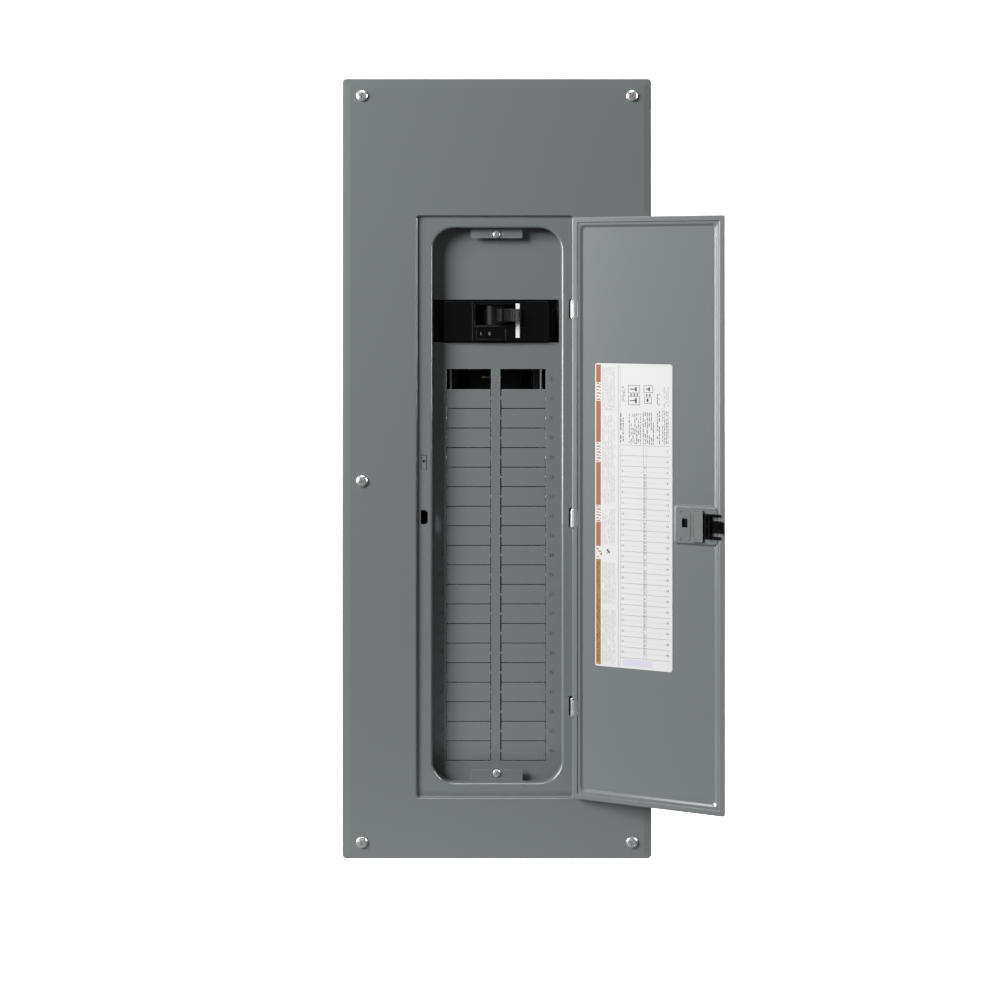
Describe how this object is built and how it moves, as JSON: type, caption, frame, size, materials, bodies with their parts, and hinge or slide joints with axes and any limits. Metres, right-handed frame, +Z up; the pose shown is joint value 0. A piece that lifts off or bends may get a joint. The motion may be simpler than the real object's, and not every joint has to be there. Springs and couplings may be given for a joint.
{
  "type": "residential load center",
  "caption": "Flush-mounted breaker panel: steel box, drawn cover with a hinged latching door, deadfront with twistouts, main breaker, bus and neutral bars.",
  "frame": {"origin": "on the wall plane, at the middle of the box's flat back face", "axes": "+Z up, +X to the right seen from the front, +Y into the wall, so the door side faces -Y"},
  "size_m": [0.4766, 0.1777, 1],
  "materials": {
    "grey_paint": "satin grey baked enamel on sheet steel",
    "bright_zinc": "bright zinc plate",
    "plain_steel": "galvanised or zinc-plated steel",
    "aluminium": "tin-plated aluminium",
    "plated_copper": "tin-plated copper",
    "black_plastic": "moulded thermoset, satin",
    "glossy_black_plastic": "moulded, glossy",
    "grey_plastic": "moulded, satin",
    "white_plastic": "printed white",
    "label_paper": "coated self-adhesive paper",
    "green_screw": "green dyed zinc plate"
  },
  "bodies": {
    "enclosure": {"enclosure_box": "grey_paint", "cover": "grey_paint", "cover_screw_1": "bright_zinc", "cover_screw_2": "bright_zinc", "cover_screw_3": "bright_zinc", "cover_screw_4": "bright_zinc", "cover_screw_5": "bright_zinc", "cover_screw_6": "bright_zinc", "deadfront": "grey_paint", "deadfront_bracket_top": "grey_paint", "deadfront_bracket_bottom": "grey_paint", "deadfront_screw_top": "bright_zinc", "deadfront_screw_bottom": "bright_zinc", "hinge_leaf_cover_top": "bright_zinc", "hinge_leaf_cover_middle": "bright_zinc", "hinge_leaf_cover_bottom": "bright_zinc", "hinge_pin_top": "bright_zinc", "hinge_pin_middle": "bright_zinc", "hinge_pin_bottom": "bright_zinc", "main_breaker_case": "black_plastic", "main_breaker_front": "glossy_black_plastic", "main_handle_pin": "plain_steel", "handle_indicator_strip": "white_plastic", "line_lug_left": "aluminium", "line_lug_right": "aluminium", "line_lug_screw_left": "plain_steel", "line_lug_screw_right": "plain_steel", "interior_pan": "plain_steel", "pan_screw_1": "bright_zinc", "pan_screw_2": "bright_zinc", "pan_screw_3": "bright_zinc", "pan_screw_4": "bright_zinc", "bus_insulator": "black_plastic", "bus_cover": "black_plastic", "bus_bar_a": "plated_copper", "bus_bar_b": "plated_copper", "neutral_support_left": "black_plastic", "neutral_support_right": "black_plastic", "plug_on_neutral_rail_left": "aluminium", "plug_on_neutral_rail_right": "aluminium", "neutral_bar_left": "aluminium", "neutral_bar_right": "aluminium", "neutral_strap": "aluminium", "neutral_lug": "aluminium", "neutral_lug_screw": "plain_steel", "ground_bar": "aluminium", "bonding_strap": "plain_steel", "bonding_screw": "green_screw"},
    "door": {"door_panel": "grey_paint", "directory_label": "label_paper", "hinge_leaf_door_top": "bright_zinc", "hinge_leaf_door_middle": "bright_zinc", "hinge_leaf_door_bottom": "bright_zinc", "latch_housing": "grey_plastic", "latch_bezel": "black_plastic", "latch_spring": "plain_steel"},
    "latch": {"latch_slide": "glossy_black_plastic"},
    "main_handle": {"main_breaker_handle": "black_plastic"}
  },
  "joints": [
    {"name": "door_hinge", "type": "hinge", "parent": "enclosure", "child": "door", "pos_m": [0.0964, -0.098, 0], "axis": [0, 0, 1], "range_deg": [-159, 13]},
    {"name": "latch_travel", "type": "slide", "parent": "door", "child": "latch", "axis": [-0.9336, 0.3584, 0], "range_m": [0, 0.003], "stiffness_N_per_m": 300, "springref_m": -0.004, "deforming": ["latch_spring"]},
    {"name": "main_handle", "type": "hinge", "parent": "enclosure", "child": "main_handle", "pos_m": [-0.001, -0.05, 0.19675], "axis": [0, 0, 1], "range_deg": [-50, 0]}
  ]
}
